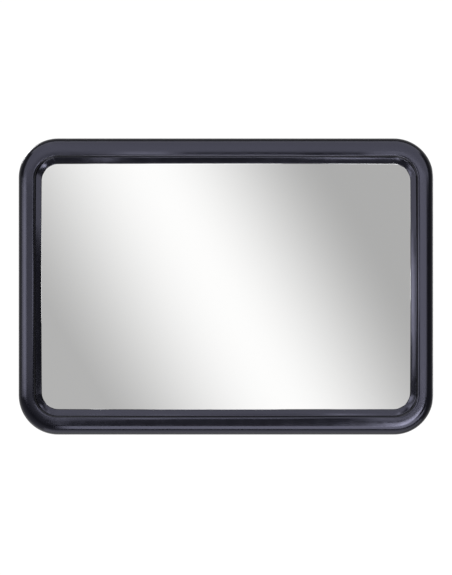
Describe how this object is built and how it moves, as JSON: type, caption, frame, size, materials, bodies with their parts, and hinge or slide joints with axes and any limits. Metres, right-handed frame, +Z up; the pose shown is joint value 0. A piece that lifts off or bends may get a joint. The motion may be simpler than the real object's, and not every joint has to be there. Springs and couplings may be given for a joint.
{
  "type": "convex security mirror",
  "caption": "Rectangular convex security mirror in a glossy dark rolled frame, on a wall bracket that pans and tilts and locks with hand knobs.",
  "frame": {"origin": "centre of the wall plate's back face, on the wall", "axes": "+Z up, +Y into the wall, +X to the right as seen from in front of the mirror; the mirror faces -Y"},
  "size_m": [0.673, 0.237, 0.4808],
  "materials": {
    "mirror_acrylic": "second-surface mirrored acrylic, polished",
    "frame_plastic": "high-gloss moulded blue-black",
    "shell_plastic": "fine textured black",
    "seal_rubber": "closed-cell black rubber strip",
    "bracket_paint": "black powder coat on pressed steel",
    "arm_paint": "black powder coat on a cast arm",
    "knob_plastic": "satin moulded black",
    "insert_brass": "turned brass",
    "washer_nylon": "natural nylon",
    "zinc_steel": "bright zinc-plated steel"
  },
  "bodies": {
    "wall_side": {"wall_plate": "bracket_paint", "pan_bolt": "zinc_steel", "pan_washer": "zinc_steel"},
    "arm": {"swivel_arm": "arm_paint", "pan_friction_washer_lower": "washer_nylon", "pan_friction_washer_upper": "washer_nylon", "tilt_friction_washer_left": "washer_nylon", "tilt_friction_washer_right": "washer_nylon"},
    "mirror_head": {"mirror_lens": "mirror_acrylic", "front_frame": "frame_plastic", "lens_seal": "seal_rubber", "back_shell": "shell_plastic", "stiffener_plate": "zinc_steel", "mirror_clevis": "bracket_paint", "tilt_bolt": "zinc_steel", "tilt_washer": "zinc_steel", "bracket_screw_1": "zinc_steel", "bracket_screw_2": "zinc_steel", "bracket_screw_3": "zinc_steel", "bracket_screw_4": "zinc_steel", "bracket_nut_1": "zinc_steel", "bracket_nut_2": "zinc_steel", "bracket_nut_3": "zinc_steel", "bracket_nut_4": "zinc_steel", "frame_screw_01": "zinc_steel", "frame_screw_02": "zinc_steel", "frame_screw_03": "zinc_steel", "frame_screw_04": "zinc_steel", "frame_screw_05": "zinc_steel", "frame_screw_06": "zinc_steel", "frame_screw_07": "zinc_steel", "frame_screw_08": "zinc_steel", "frame_screw_09": "zinc_steel", "frame_screw_10": "zinc_steel", "frame_screw_11": "zinc_steel", "frame_screw_12": "zinc_steel"},
    "pan_knob_unit": {"pan_knob": "knob_plastic", "pan_knob_insert": "insert_brass"},
    "tilt_knob_unit": {"tilt_knob": "knob_plastic", "tilt_knob_insert": "insert_brass"}
  },
  "joints": [
    {"name": "pan", "type": "hinge", "parent": "wall_side", "child": "arm", "pos_m": [0, -0.035, 0], "axis": [0, 0, 1], "range_deg": [-28, 28]},
    {"name": "tilt", "type": "hinge", "parent": "arm", "child": "mirror_head", "pos_m": [0, -0.145, 0], "axis": [1, 0, 0], "range_deg": [-15, 45]},
    {"name": "pan_knob_turn", "type": "hinge", "parent": "wall_side", "child": "pan_knob_unit", "pos_m": [0, -0.035, 0.025], "axis": [0, 0, 1], "range_deg": [0, 360]},
    {"name": "tilt_knob_turn", "type": "hinge", "parent": "mirror_head", "child": "tilt_knob_unit", "pos_m": [0.025, -0.145, 0], "axis": [1, 0, 0], "range_deg": [0, 360]}
  ]
}
